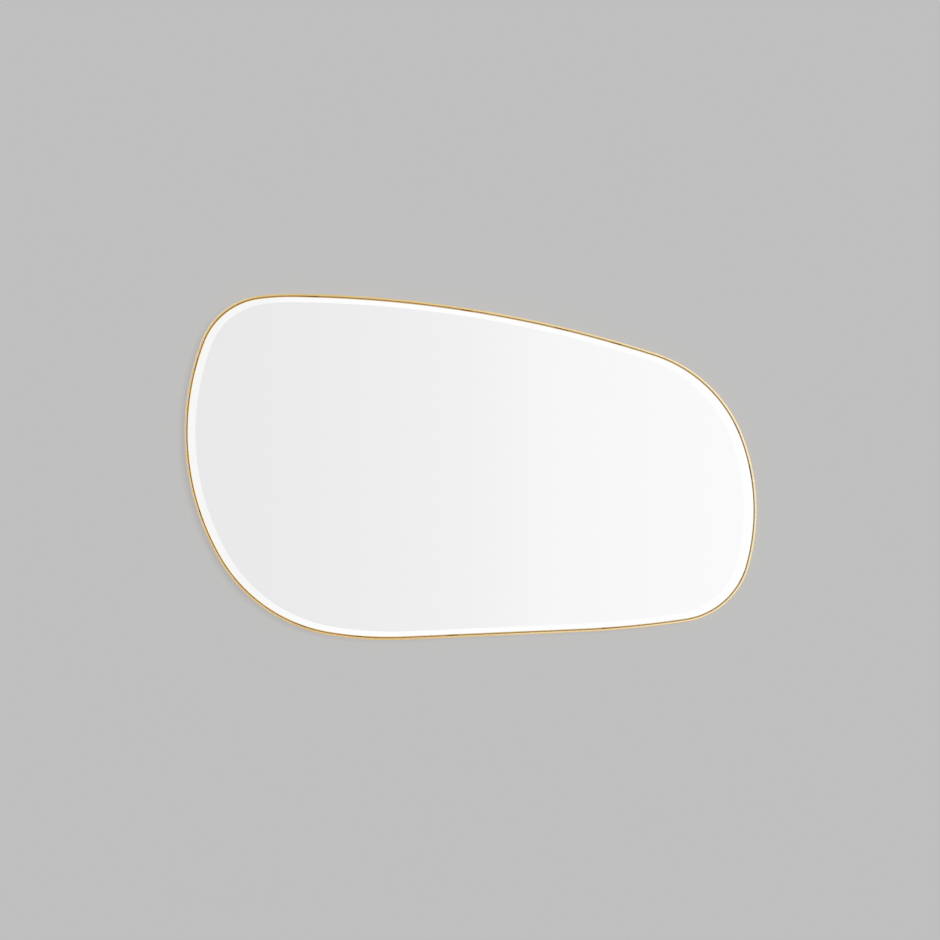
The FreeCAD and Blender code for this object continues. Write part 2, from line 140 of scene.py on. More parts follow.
# ---- Fineness of the meshes ----
STEP_ANGLE = 1.5
STEP_LENGTH = 10.0
SHARP_ANGLE = 40.0
RIDGE_SHARP_ANGLE = 5.0
CREASE_ANGLE = 60.0
EDGE_SOFTENING = 0.15
SAME_POINT = 0.01
TOUCHING = 0.0005
STRIP_CORNER_STEPS = 4
BOARD_EDGE_STEPS = 3
CLIP_BEND_STEPS = 6
CLIP_CORNER_STEPS = 5
ARC_STEPS = 5
SCREW_STEPS = 32
BUMPER_STEPS = 40
STRAP_ROLL_STEPS = 30
STRAP_END_STEPS = 8
WIRE_STEPS = 20
RING_CORNER_STEPS = 10
RING_BOW_STEPS = 30

Bend = namedtuple("Bend", "x z radius start turn")
Place = namedtuple("Place", "x z facing")


def direction(angle):
    """X and Z of a unit vector in the plane of the mirror."""
    return math.cos(math.radians(angle)), math.sin(math.radians(angle))


def heading(angle):
    """Unit vector in the plane of the mirror."""
    x, z = direction(angle)
    return Vector((x, 0, z))


def reach(bends, angle):
    """How far a closed chain of bends reaches from the origin in one direction."""
    x, z = direction(angle)
    for bend in bends:
        if (angle - bend.start) % 360 <= bend.turn:
            return bend.x * x + bend.z * z + bend.radius


def outline_bends(inset=0.0, narrowing=0.0, to_left=0.0):
    """The outline's bends, drawn in by an inset. A narrowing draws in the sides further."""
    known = Vector(direction(BOTTOM_SLOPE_ANGLE)) * (BOTTOM_RUN - 2 * narrowing)
    open_steps = []
    facing = BOTTOM_FACING
    for turn, radius in OUTLINE_ANGLES_AND_RADII:
        step = Vector(direction(facing + turn)) - Vector(direction(facing))
        facing += turn
        if radius is None:
            open_steps.append(step)
        else:
            known += step * (radius - inset)
    first, second = open_steps
    cross = first.x * second.y - first.y * second.x
    found = iter((
        (known.y * second.x - known.x * second.y) / cross,
        (known.x * first.y - known.y * first.x) / cross,
    ))

    bends = []
    point = Vector((0.0, 0.0))
    facing = BOTTOM_FACING
    for turn, radius in OUTLINE_ANGLES_AND_RADII:
        radius = next(found) if radius is None else radius - inset
        centre = point - Vector(direction(facing)) * radius
        bends.append(Bend(centre.x, centre.y, radius, facing, turn))
        facing += turn
        point = centre + Vector(direction(facing)) * radius
    shift_x = (reach(bends, 180) - reach(bends, 0)) / 2 - to_left
    shift_z = (reach(bends, 270) - reach(bends, 90)) / 2 - HOOK_ABOVE_CENTRE
    return [bend._replace(x=bend.x + shift_x, z=bend.z + shift_z) for bend in bends]


OUTER_BENDS = outline_bends()
STRETCHES = [(bend.radius * math.radians(bend.turn), bend) for bend in OUTER_BENDS]
STRETCHES.append((BOTTOM_RUN, None))
OUTLINE_LENGTH = sum(length for length, bend in STRETCHES)
SEAM_DISTANCE = OUTLINE_LENGTH - BOTTOM_RUN - SEAM_TO_RUN
CLIP_DISTANCES = [
    SEAM_DISTANCE + (index + 0.5) * OUTLINE_LENGTH / CLIP_COUNT for index in range(CLIP_COUNT)
]


def steps_in(length, turn):
    """How many small steps make up a stretch of the outline."""
    return max(1, math.ceil(turn / STEP_ANGLE), math.ceil(length / STEP_LENGTH))


def point_on(bend, angle, y):
    """Point of a bend that faces a given way, at a depth."""
    x, z = direction(angle)
    return Vector((bend.x + bend.radius * x, y, bend.z + bend.radius * z))


def stretch_at(distance):
    """Index of the stretch that holds a distance along the outer edge, and the rest into it."""
    distance %= OUTLINE_LENGTH
    for index, (length, bend) in enumerate(STRETCHES):
        if distance < length:
            return index, distance
        distance -= length
    return 0, 0.0


def place_along(distance, inset=0.0):
    """Place that lies a distance anticlockwise along the outer edge, then an inset inwards."""
    index, rest = stretch_at(distance)
    length, bend = STRETCHES[index]
    if bend:
        facing = bend.start + math.degrees(rest / bend.radius)
        point = point_on(bend, facing, 0)
    else:
        facing = BOTTOM_FACING
        run_start = point_on(OUTER_BENDS[-1], facing + 360.0, 0)
        point = run_start + heading(BOTTOM_SLOPE_ANGLE) * rest
    x, z = direction(facing)
    return Place(point.x - inset * x, point.z - inset * z, facing)


def place_facing(facing, inset):
    """Place on the outline where it faces a given way, then an inset inwards."""
    for bend in outline_bends(inset):
        if (facing - bend.start) % 360 <= bend.turn:
            point = point_on(bend, facing, 0)
            return Place(point.x, point.z, facing)


# ---- Mesh building ----
def only(kind, items):
    """The mesh elements of one kind."""
    return [item for item in items if isinstance(item, kind)]


def rounded(bm, geometry, radius, segments, affect="VERTICES"):
    """Rounds corners of a flat face."""
    bmesh.ops.bevel(
        bm, geom=geometry, offset=radius, segments=segments, profile=0.5, material=-1, affect=affect
    )


def softened(bm, edges, radius, segments=2):
    """Rounds edges of a solid."""
    rounded(bm, edges, radius, segments, "EDGES")


def sharp_edges(bm, angle):
    """Edges whose two faces turn by more than an angle."""
    return [
        edge for edge in bm.edges
        if len(edge.link_faces) == 2 and edge.calc_face_angle() > math.radians(angle)
    ]


def swept_band(corners, start, length):
    """Solid drawn along the outline, from a section of (inset, y, rounding) corners.

    Each vertex keeps its distance along the strip, its inset and its depth, for the grain.
    """
    bm = bmesh.new()
    strip = bm.verts.layers.float_vector.new("strip")
    place = place_along(start)
    out = heading(place.facing)
    edge_point = Vector((place.x, 0, place.z))
    verts = []
    for inset, y, rounding in corners:
        verts.append(bm.verts.new(edge_point - out * inset + Vector((0, y, 0))))
    bm.faces.new(verts)
    for vert, (inset, y, rounding) in zip(verts, corners):
        rounded(bm, [vert], rounding, STRIP_CORNER_STEPS)
    for vert in bm.verts:
        vert[strip] = Vector((0, (edge_point - vert.co).dot(out), vert.co.y)) * MM
    section = list(bm.edges)
    done = 0.0
    index, rest = stretch_at(start)
    while length - done > 1e-6:
        stretch_length, bend = STRETCHES[index]
        here = min(length - done, stretch_length - rest)
        turn = math.degrees(here / bend.radius) if bend else 0.0
        count = steps_in(here, turn)
        for step in range(count):
            made = bmesh.ops.extrude_edge_only(bm, edges=section)["geom"]
            moved = only(bmesh.types.BMVert, made)
            section = only(bmesh.types.BMEdge, made)
            if bend:
                turned = Matrix.Rotation(math.radians(turn / count), 3, TOWARDS_VIEWER)
                bmesh.ops.rotate(bm, verts=moved, cent=(bend.x, 0, bend.z), matrix=turned)
            else:
                shift = heading(BOTTOM_SLOPE_ANGLE) * here / count
                bmesh.ops.translate(bm, verts=moved, vec=shift)
            for vert in moved:
                vert[strip].x = (done + here * (step + 1) / count) * MM
        done += here
        rest = 0.0
        index = (index + 1) % len(STRETCHES)
    bmesh.ops.holes_fill(bm, edges=section, sides=0)
    return bm


def outline_loop(bm, inset, y, narrowing=0.0, to_left=0.0):
    """Closed loop of edges at an inset and a depth: one vertex carried round the outline."""
    bends = outline_bends(inset, narrowing, to_left)
    before = set(bm.edges)
    vert = bm.verts.new(point_on(bends[0], bends[0].start, y))
    for bend, (outer_length, outer_bend) in zip(bends, STRETCHES):
        made = bmesh.ops.spin(
            bm,
            geom=[vert],
            cent=(bend.x, y, bend.z),
            axis=TOWARDS_VIEWER,
            angle=math.radians(bend.turn),
            steps=steps_in(outer_length, outer_bend.turn),
        )
        vert = only(bmesh.types.BMVert, made["geom_last"])[0]
    run_start = vert.co.copy()
    run_end = point_on(bends[0], bends[0].start, y)
    count = steps_in(BOTTOM_RUN, 0)
    for step in range(count):
        vert = only(bmesh.types.BMVert, bmesh.ops.extrude_vert_indiv(bm, verts=[vert])["verts"])[0]
        vert.co = run_start.lerp(run_end, (step + 1) / count)
    loop = dict.fromkeys(vert for edge in bm.edges if edge not in before for vert in edge.verts)
    bmesh.ops.remove_doubles(bm, verts=list(loop), dist=SAME_POINT)
    return [edge for edge in bm.edges if edge not in before]


def layered(loops):
    """Closed slab through loops of the outline, each an inset, a depth and any narrowing."""
    bm = bmesh.new()
    rows = [outline_loop(bm, *loop) for loop in loops]
    for row, following in zip(rows, rows[1:]):
        bmesh.ops.bridge_loops(bm, edges=row + following)
    for row in (rows[0], rows[-1]):
        bmesh.ops.holes_fill(bm, edges=row, sides=0)
    return bm


def lathed(profile, steps):
    """Surface turned round the Y axis, from (radius, y) points."""
    bm = bmesh.new()
    verts = [bm.verts.new((radius, y, 0)) for radius, y in profile]
    edges = [bm.edges.new(pair) for pair in zip(verts, verts[1:])]
    bmesh.ops.spin(
        bm,
        geom=verts + edges,
        cent=(0, 0, 0),
        axis=(0, 1, 0),
        angle=math.tau,
        steps=steps,
        use_merge=True,
    )
    bmesh.ops.remove_doubles(bm, verts=bm.verts, dist=TOUCHING)
    return bm


def corner_arc(radius, y, rounding, start, end):
    """Points of a rounded corner in a turned profile, about the arc's own middle."""
    points = []
    for step in range(ARC_STEPS + 1):
        angle = math.radians(start + (end - start) * step / ARC_STEPS)
        points.append((radius + rounding * math.cos(angle), y + rounding * math.sin(angle)))
    return points


def copies(bm, shifts):
    """The same shape again at each matrix, in one mesh."""
    gathered = bmesh.new()
    for matrix in shifts:
        moved = bm.copy()
        bmesh.ops.transform(moved, matrix=matrix, verts=moved.verts)
        mesh = bpy.data.meshes.new("copy")
        moved.to_mesh(mesh)
        moved.free()
        gathered.from_mesh(mesh)
        bpy.data.meshes.remove(mesh)
    bm.free()
    return gathered


def finished(bm, name, node, materials, body="mirror", sharp=SHARP_ANGLE, material_of=None):
    """Piece in metres that stands for a node of the part and rides on its body."""
    bmesh.ops.remove_doubles(bm, verts=bm.verts, dist=TOUCHING)
    bmesh.ops.recalc_face_normals(bm, faces=bm.faces)
    for face in bm.faces:
        face.smooth = True
        if material_of:
            face.material_index = material_of(face)
    for edge in sharp_edges(bm, sharp):
        edge.smooth = False
    bmesh.ops.scale(bm, vec=(MM, MM, MM), verts=bm.verts)
    mesh = bpy.data.meshes.new(name)
    bm.to_mesh(mesh)
    bm.free()
    for material in materials:
        mesh.materials.append(material)
    piece = bpy.data.objects.new(name, mesh)
    bpy.context.scene.collection.objects.link(piece)
    piece.modifiers.new("flat faces stay flat", "WEIGHTED_NORMAL").keep_sharp = True
    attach(piece, body)
    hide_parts(node)


# ---- Node helpers ----
def feed(tree, node, **inputs):
    """Sets a node's inputs, each to a value or another node's output. _2 is its third input."""
    for name, value in inputs.items():
        key = int(name[1:]) if name[0] == "_" else name.replace("_", " ")
        if isinstance(value, bpy.types.NodeSocket):
            tree.links.new(value, node.inputs[key])
        else:
            node.inputs[key].default_value = value


def place_node(tree, kind, settings=None, **inputs):
    """New node with its settings and inputs."""
    node = tree.nodes.new(kind)
    for name, value in (settings or {}).items():
        setattr(node, name, value)
    feed(tree, node, **inputs)
    return node


def math_of(tree, operation, *values):
    """Output of a Math node."""
    inputs = {"_%d" % index: value for index, value in enumerate(values)}
    return place_node(tree, "ShaderNodeMath", {"operation": operation}, **inputs).outputs[0]


def product_of(tree, first, second):
    return math_of(tree, "MULTIPLY", first, second)


def total_of(tree, first, second):
    return math_of(tree, "ADD", first, second)


def range_of(tree, value, low, high, to_low=0.0, to_high=1.0):
    """Output of a Map Range node that stays within its limits."""
    node = place_node(tree, "ShaderNodeMapRange", _0=value, _1=low, _2=high, _3=to_low, _4=to_high)
    return node.outputs[0]


def blend_of(tree, factor, first, second):
    """Colour between two colours."""
    settings = {"data_type": "RGBA"}
    node = place_node(tree, "ShaderNodeMix", settings, _0=factor, _6=first, _7=second)
    return node.outputs[2]


def value_between(tree, factor, first, second):
    settings = {"data_type": "FLOAT"}
    return place_node(tree, "ShaderNodeMix", settings, _0=factor, _2=first, _3=second).outputs[0]


def vector_math(tree, operation, first, second):
    settings = {"operation": operation}
    return place_node(tree, "ShaderNodeVectorMath", settings, _0=first, _1=second)


def scaled_vector(tree, vector, factors):
    return vector_math(tree, "MULTIPLY", vector, factors).outputs[0]


def dot_of(tree, first, second):
    """How far two directions agree."""
    return vector_math(tree, "DOT_PRODUCT", first, second).outputs["Value"]


def part_of(tree, vector, axis):
    return place_node(tree, "ShaderNodeSeparateXYZ", _0=vector).outputs[axis]


def facing_of(tree, axis):
    """How far the surface faces along one axis."""
    return part_of(tree, tree.nodes.new("ShaderNodeNewGeometry").outputs["Normal"], axis)


def noise_of(tree, vector, scale, detail=3.0, roughness=0.5):
    inputs = {"Vector": vector, "Scale": scale, "Detail": detail, "Roughness": roughness}
    return place_node(tree, "ShaderNodeTexNoise", **inputs).outputs["Fac"]


def cells_of(tree, vector, scale, feature="F1"):
    settings = {"feature": feature}
    node = place_node(tree, "ShaderNodeTexVoronoi", settings, Vector=vector, Scale=scale)
    return node.outputs["Distance"]


def group_of(name, inputs, outputs):
    """Empty node group with named sockets, and the nodes at its two ends."""
    group = bpy.data.node_groups.new(name, "ShaderNodeTree")
    for socket_name, kind in inputs:
        group.interface.new_socket(socket_name, in_out="INPUT", socket_type=kind)
    for socket_name in outputs:
        group.interface.new_socket(socket_name, in_out="OUTPUT", socket_type=FLOAT)
    return group, group.nodes.new("NodeGroupInput").outputs, group.nodes.new("NodeGroupOutput")


FLOAT = "NodeSocketFloat"
VECTOR = "NodeSocketVector"


def make_strip_grain():
    """Fine lines that run along a rolled strip."""
    group, given, result = group_of(
        "strip grain",
        [("Strip", VECTOR), ("Lines per metre", FLOAT), ("Length of lines", FLOAT)],
        ["Lines", "Drift"],
    )
    parts = place_node(group, "ShaderNodeSeparateXYZ", _0=given["Strip"]).outputs
    per_length = math_of(group, "DIVIDE", 1.0, given["Length of lines"])
    along = product_of(group, parts["X"], per_length)
    across = product_of(group, parts["Y"], given["Lines per metre"])
    deep = product_of(group, parts["Z"], given["Lines per metre"])
    stretched = place_node(group, "ShaderNodeCombineXYZ", X=along, Y=across, Z=deep).outputs[0]
    fine = noise_of(group, stretched, 1.0, 4.0, 0.65)
    slow = place_node(group, "ShaderNodeCombineXYZ", X=parts["X"]).outputs[0]
    drift = noise_of(group, slow, 6.0, 2.0)
    feed(group, result, Lines=range_of(group, fine, 0.3, 0.7))
    feed(group, result, Drift=range_of(group, drift, 0.35, 0.65))
    return group


def make_worn_edges():
    """Mask that is 1 where an edge has been rubbed, in broken stretches."""
    group, given, result = group_of(
        "worn edges",
        [("Coordinates", VECTOR), ("Width", FLOAT), ("Gaps", FLOAT)],
        ["Mask"],
    )
    bevel = place_node(group, "ShaderNodeBevel", {"samples": 6}, Radius=given["Width"])
    true_normal = group.nodes.new("ShaderNodeNewGeometry").outputs["Normal"]
    bent = math_of(group, "SUBTRACT", 1.0, dot_of(group, bevel.outputs[0], true_normal))
    edge = range_of(group, bent, 0.01, 0.12)
    broken = noise_of(group, given["Coordinates"], given["Gaps"], 4.0, 0.6)
    feed(group, result, Mask=product_of(group, edge, range_of(group, broken, 0.4, 0.62)))
    return group


def make_handling_marks():
    """Soft smudges where hands and packing have touched a surface."""
    group, given, result = group_of(
        "handling marks",
        [("Coordinates", VECTOR), ("Scale", FLOAT), ("Cover", FLOAT)],
        ["Mask"],
    )
    wide = noise_of(group, given["Coordinates"], given["Scale"], 4.0, 0.6)
    fine = noise_of(group, given["Coordinates"], product_of(group, given["Scale"], 9.0), 3.0)
    both = total_of(group, wide, product_of(group, fine, 0.3))
    low = math_of(group, "SUBTRACT", 1.05, product_of(group, given["Cover"], 0.6))
    feed(group, result, Mask=range_of(group, both, low, total_of(group, low, 0.25)))
    return group


def make_settled_dust():
    """Thin dust on what faces up."""
    group, given, result = group_of(
        "settled dust", [("Coordinates", VECTOR), ("Amount", FLOAT)], ["Mask"]
    )
    facing_up = range_of(group, facing_of(group, "Z"), 0.4, 1.0)
    patchy = range_of(group, noise_of(group, given["Coordinates"], 70.0, 5.0, 0.6), 0.35, 0.65)
    dust = product_of(group, facing_up, patchy)
    feed(group, result, Mask=product_of(group, dust, given["Amount"]))
    return group


STRIP_GRAIN = make_strip_grain()
WORN_EDGES = make_worn_edges()
HANDLING_MARKS = make_handling_marks()
SETTLED_DUST = make_settled_dust()


def use_group(tree, group, **inputs):
    """Outputs of a shared group."""
    return place_node(tree, "ShaderNodeGroup", {"node_tree": group}, **inputs).outputs


def new_material(name, **constants):
    """Material with plain values on its shader, its node tree, and its object's coordinates."""
    material = bpy.data.materials.new(name)
    material.use_nodes = True
    tree = material.node_tree
    feed(tree, tree.nodes["Principled BSDF"], **constants)
    return material, tree, tree.nodes.new("ShaderNodeTexCoord").outputs["Object"]


def surfaced(material, colour, rough, height=None, depth=0.0, **more):
    """The material with its colour, its roughness and small relief, whose depth is in metres."""
    tree = material.node_tree
    shader = tree.nodes["Principled BSDF"]
    feed(tree, shader, Base_Color=colour, Roughness=rough, **more)
    if height is not None:
        bump = place_node(tree, "ShaderNodeBump", Strength=1.0, Distance=depth, Height=height)
        feed(tree, shader, Normal=bump.outputs["Normal"])
    return material


# ---- Materials ----
GOLD_DEEP = (0.77, 0.495, 0.15, 1)
GOLD_PALE = (0.87, 0.605, 0.23, 1)
# Paler gold for a painted highlight towards the right, where the light falls.
GOLD_PAINTED_HIGHLIGHT = (0.88, 0.70, 0.40, 1)
# Deeper, darker gold for painted shade on the strip's inner wall, in the gap by the glass.
GOLD_SHADED_INSIDE = (0.72, 0.41, 0.085, 1)
GOLD_GRAZED = (0.96, 0.70, 0.31, 1)
# Pale gold for a painted sheen on the rounded corners.
GOLD_CORNER_SHEEN = (0.96, 0.90, 0.76, 1)
DUST = (0.62, 0.60, 0.56, 1)
MIRROR_CLEAN = (0.975, 0.98, 0.977, 1)
MIRROR_WIPED = (0.965, 0.97, 0.968, 1)
GLASS_GREENS = ((0.20, 0.38, 0.31, 1), (0.42, 0.58, 0.50, 1))
SILVER_GREYS = ((0.44, 0.46, 0.47, 1), (0.60, 0.62, 0.63, 1))
FILM_GREYS = ((0.50, 0.51, 0.53, 1), (0.60, 0.61, 0.63, 1))
FOAM_BLACKS = ((0.075, 0.075, 0.075, 1), (0.02, 0.02, 0.02, 1))
BOARD_BROWNS = ((0.47, 0.32, 0.185, 1), (0.58, 0.41, 0.25, 1))
BOARD_FIBRE = (0.30, 0.19, 0.10, 1)
BOARD_FLECK = (0.72, 0.57, 0.39, 1)
BOARD_CUT = (0.37, 0.245, 0.135, 1)
ZINC_GREYS = ((0.58, 0.60, 0.63, 1), (0.80, 0.80, 0.79, 1))
ZINC_WORN = (0.90, 0.90, 0.90, 1)
PAD_BROWNS = ((0.36, 0.225, 0.085, 1), (0.47, 0.305, 0.125, 1))
PAD_CELL = (0.22, 0.135, 0.055, 1)
RUBBER_BLACKS = ((0.018, 0.018, 0.019, 1), (0.040, 0.040, 0.041, 1))
RUBBER_HANDLED = (0.10, 0.098, 0.095, 1)
RUBBER_WORN = (0.16, 0.155, 0.15, 1)
# Insets, in metres, where the painted shade on the strip's inner wall sets in and is full.
INNER_WALL_INSETS = (0.0026, 0.0029)
# X, in metres, where the painted highlight to the right sets in and is full.
PAINTED_HIGHLIGHT_FROM_TO = (-0.1, 0.4)


def make_gold(name, bent_strip):
    """Brushed gold coat, with a painted highlight that makes it paler to the right, a painted sheen
    that makes it paler over corners, and painted shade that makes it deeper inside a bent strip.
    """
    material, tree, own = new_material(
        name, Metallic=1.0, Specular_Tint=GOLD_GRAZED, Coat_Weight=0.1, Coat_Roughness=0.12
    )
    along = own
    if bent_strip:
        settings = {"attribute_name": "strip"}
        along = place_node(tree, "ShaderNodeAttribute", settings).outputs["Vector"]
    grain = use_group(tree, STRIP_GRAIN, Strip=along, Lines_per_metre=2600.0, Length_of_lines=0.05)
    tone = total_of(
        tree, product_of(tree, grain["Lines"], 0.35), product_of(tree, grain["Drift"], 0.65)
    )
    colour = blend_of(tree, tone, GOLD_DEEP, GOLD_PALE)
    if bent_strip:
        # Painted shade: the strip's inner wall, down in the gap beside the glass, turns a deeper,
        # darker gold.
        inside = range_of(tree, part_of(tree, along, "Y"), *INNER_WALL_INSETS, 0.0, 0.75)
        colour = blend_of(tree, inside, colour, GOLD_SHADED_INSIDE)
    # Painted highlight: the gold turns paler towards the right, where the light falls, and is not a
    # thinner coat.
    thin = range_of(tree, part_of(tree, own, "X"), *PAINTED_HIGHLIGHT_FROM_TO, 0.0, 0.55)
    colour = blend_of(tree, thin, colour, GOLD_PAINTED_HIGHLIGHT)
    # Painted sheen: the rounded corners, found by how far they face forwards, turn a patchy pale
    # gold that stands in for the highlights they catch.
    forwards = math_of(tree, "ABSOLUTE", facing_of(tree, "Y"))
    corner = product_of(
        tree, range_of(tree, forwards, 0.1, 0.35), range_of(tree, forwards, 0.97, 0.88)
    )
    patchy = range_of(tree, noise_of(tree, own, 55.0, 4.0, 0.6), 0.3, 0.6, 0.45, 0.85)
    colour = blend_of(tree, product_of(tree, corner, patchy), colour, GOLD_CORNER_SHEEN)
    dust = use_group(tree, SETTLED_DUST, Coordinates=own, Amount=0.2)["Mask"]
    colour = blend_of(tree, dust, colour, DUST)
    marks = use_group(tree, HANDLING_MARKS, Coordinates=own, Scale=30.0, Cover=0.35)["Mask"]
    rough = range_of(tree, grain["Lines"], 0.0, 1.0, 0.22, 0.32)
    rough = total_of(tree, rough, product_of(tree, marks, 0.08))
    rough = total_of(tree, rough, product_of(tree, dust, 0.4))
    return surfaced(material, colour, rough, grain["Lines"], 0.00001)


def make_mirror_face():
    """Silvered glass: clear, with the faint film that wiping leaves."""
    material, tree, own = new_material("silvered glass", Metallic=1.0)
    marks = use_group(tree, HANDLING_MARKS, Coordinates=own, Scale=6.0, Cover=0.5)["Mask"]
    colour = blend_of(tree, marks, MIRROR_CLEAN, MIRROR_WIPED)
    return surfaced(material, colour, range_of(tree, marks, 0, 1, 0.004, 0.02))


def make_glass_edge():
    """Ground upright edge of float glass, green and slightly frosted."""
    material, tree, own = new_material("ground glass edge", IOR=1.52, Coat_Weight=0.5)
    grind = noise_of(tree, scaled_vector(tree, own, (1.0, 6.0, 1.0)), 900.0, 4.0, 0.7)
    colour = blend_of(tree, range_of(tree, grind, 0.3, 0.7), *GLASS_GREENS)
    rough = range_of(tree, grind, 0.3, 0.7, 0.2, 0.42)
    return surfaced(material, colour, rough, grind, 0.00004)


def make_silver_coat():
    """Silver with its grey backing paint, as seen at its edge."""
    material, tree, own = new_material("silver coat")
    cloud = noise_of(tree, own, 45.0, 4.0)
    colour = blend_of(tree, range_of(tree, cloud, 0.35, 0.65), *SILVER_GREYS)
    rough = range_of(tree, cloud, 0.3, 0.7, 0.3, 0.45)
    metallic = range_of(tree, cloud, 0.3, 0.7, 0.75, 0.9)
    return surfaced(material, colour, rough, Metallic=metallic)


def make_film():
    """Grey safety film with a faint embossed weave."""
    material, tree, own = new_material("safety film")
    settings = {"wave_type": "BANDS", "bands_direction": "DIAGONAL"}
    weave = place_node(tree, "ShaderNodeTexWave", settings, Vector=own, Scale=600.0, Distortion=0.6)
    cloud = range_of(tree, noise_of(tree, own, 30.0, 3.0), 0.35, 0.65)
    colour = blend_of(tree, cloud, *FILM_GREYS)
    rough = range_of(tree, cloud, 0, 1, 0.4, 0.55)
    return surfaced(material, colour, rough, weave.outputs["Fac"], 0.00003)


def make_foam():
    """Black closed-cell foam."""
    material, tree, own = new_material("foam tape")
    cells = cells_of(tree, own, 2600.0)
    colour = blend_of(tree, range_of(tree, cells, 0.1, 0.7), *FOAM_BLACKS)
    rough = range_of(tree, cells, 0, 1, 0.75, 0.95)
    return surfaced(material, colour, rough, cells, 0.00012)


def make_fibreboard():
    """Pressed wood fibre: speckled on its faces, darker and rougher where it is cut."""
    material, tree, own = new_material("fibreboard")
    cloud = range_of(tree, noise_of(tree, own, 9.0, 5.0, 0.6), 0.3, 0.7)
    colour = blend_of(tree, cloud, *BOARD_BROWNS)
    hairs = noise_of(tree, scaled_vector(tree, own, (1.0, 1.0, 3.2)), 520.0, 5.0, 0.75)
    fibre = range_of(tree, hairs, 0.53, 0.72)
    colour = blend_of(tree, product_of(tree, fibre, 0.75), colour, BOARD_FIBRE)
    flecks = noise_of(tree, scaled_vector(tree, own, (2.8, 1.0, 1.0)), 300.0, 3.0, 0.6)
    pale = product_of(tree, range_of(tree, flecks, 0.60, 0.74), 0.5)
    colour = blend_of(tree, pale, colour, BOARD_FLECK)
    forwards = math_of(tree, "ABSOLUTE", facing_of(tree, "Y"))
    cut = range_of(tree, forwards, 0.35, 0.8, 1.0, 0.0)
    colour = blend_of(tree, product_of(tree, cut, 0.8), colour, BOARD_CUT)
    marks = use_group(tree, HANDLING_MARKS, Coordinates=own, Scale=5.0, Cover=0.5)["Mask"]
    colour = blend_of(tree, product_of(tree, marks, 0.25), colour, BOARD_FIBRE)
    rough = range_of(tree, hairs, 0.3, 0.7, 0.62, 0.74)
    rough = total_of(tree, rough, product_of(tree, cut, 0.2))
    return surfaced(material, colour, rough, hairs, 0.00006)


def make_zinc():
    """Bright zinc plate: cloudy, with fine handling scratches and rubbed edges."""
    material, tree, own = new_material("zinc plate", Metallic=1.0)
    crystals = cells_of(tree, own, 420.0, "SMOOTH_F1")
    cloud = noise_of(tree, own, 160.0, 4.0, 0.6)
    tone = total_of(tree, range_of(tree, cloud, 0.3, 0.7, 0, 0.6), product_of(tree, crystals, 0.5))
    colour = blend_of(tree, tone, *ZINC_GREYS)
    scratches = noise_of(tree, scaled_vector(tree, own, (30.0, 30.0, 1.5)), 120.0, 2.0)
    worn = use_group(tree, WORN_EDGES, Coordinates=own, Width=0.0004, Gaps=300.0)["Mask"]
    colour = blend_of(tree, product_of(tree, worn, 0.7), colour, ZINC_WORN)
    rough = range_of(tree, cloud, 0.3, 0.7, 0.24, 0.38)
    rough = total_of(tree, rough, range_of(tree, scratches, 0.55, 0.7, 0.0, 0.12))
    return surfaced(material, colour, rough, scratches, 0.00001)


def make_dark_pad():
    """Brown foam rubber with fine open cells."""
    material, tree, own = new_material("dark pad")
    cells = cells_of(tree, own, 3200.0)
    cloud = range_of(tree, noise_of(tree, own, 350.0, 3.0, 0.6), 0.35, 0.65)
    colour = blend_of(tree, cloud, *PAD_BROWNS)
    colour = blend_of(tree, range_of(tree, cells, 0.4, 0.8), colour, PAD_CELL)
    rough = range_of(tree, cells, 0, 1, 0.65, 0.9)
    return surfaced(material, colour, rough, cells, 0.00008)


def make_rubber():
    """Moulded black rubber, matt, greyer where it has been handled."""
    material, tree, own = new_material("black rubber")
    pebble = noise_of(tree, own, 1500.0, 4.0, 0.6)
    marks = use_group(tree, HANDLING_MARKS, Coordinates=own, Scale=120.0, Cover=0.6)["Mask"]
    colour = blend_of(tree, range_of(tree, pebble, 0.3, 0.7), *RUBBER_BLACKS)
    colour = blend_of(tree, product_of(tree, marks, 0.5), colour, RUBBER_HANDLED)
    worn = use_group(tree, WORN_EDGES, Coordinates=own, Width=0.0006, Gaps=200.0)["Mask"]
    colour = blend_of(tree, product_of(tree, worn, 0.6), colour, RUBBER_WORN)
    rough = range_of(tree, pebble, 0.3, 0.7, 0.62, 0.82)
    return surfaced(material, colour, rough, pebble, 0.00003)


GOLD = make_gold("brushed gold", True)
GOLD_SHEET = make_gold("brushed gold sheet", False)
MIRROR_FACE = make_mirror_face()
GLASS_EDGE = make_glass_edge()
SILVER_COAT = make_silver_coat()
FILM = make_film()
FOAM = make_foam()
FIBREBOARD = make_fibreboard()
ZINC = make_zinc()
DARK_PAD = make_dark_pad()
RUBBER = make_rubber()


# ---- Pieces ----
def build_rim():
    """Strip bent on edge round the glass, its corners rounded, with a hairline seam."""
    corners = [
        (0.0, RIM_BACK_Y, RIM_BACK_ROUNDING),
        (0.0, RIM_FRONT_Y, RIM_FRONT_ROUNDING),
        (RIM_THICKNESS, RIM_FRONT_Y, RIM_FRONT_ROUNDING),
        (RIM_THICKNESS, RIM_BACK_Y, RIM_BACK_ROUNDING),
    ]
    start = SEAM_DISTANCE + SEAM_GAP / 2
    bm = swept_band(corners, start, OUTLINE_LENGTH - SEAM_GAP)
    ends = [face for face in bm.faces if len(face.verts) > 4]
    softened(bm, [edge for face in ends for edge in face.edges], SEAM_END_ROUNDING)
    finished(bm, "rim_strip", "frame_rim", [GOLD])


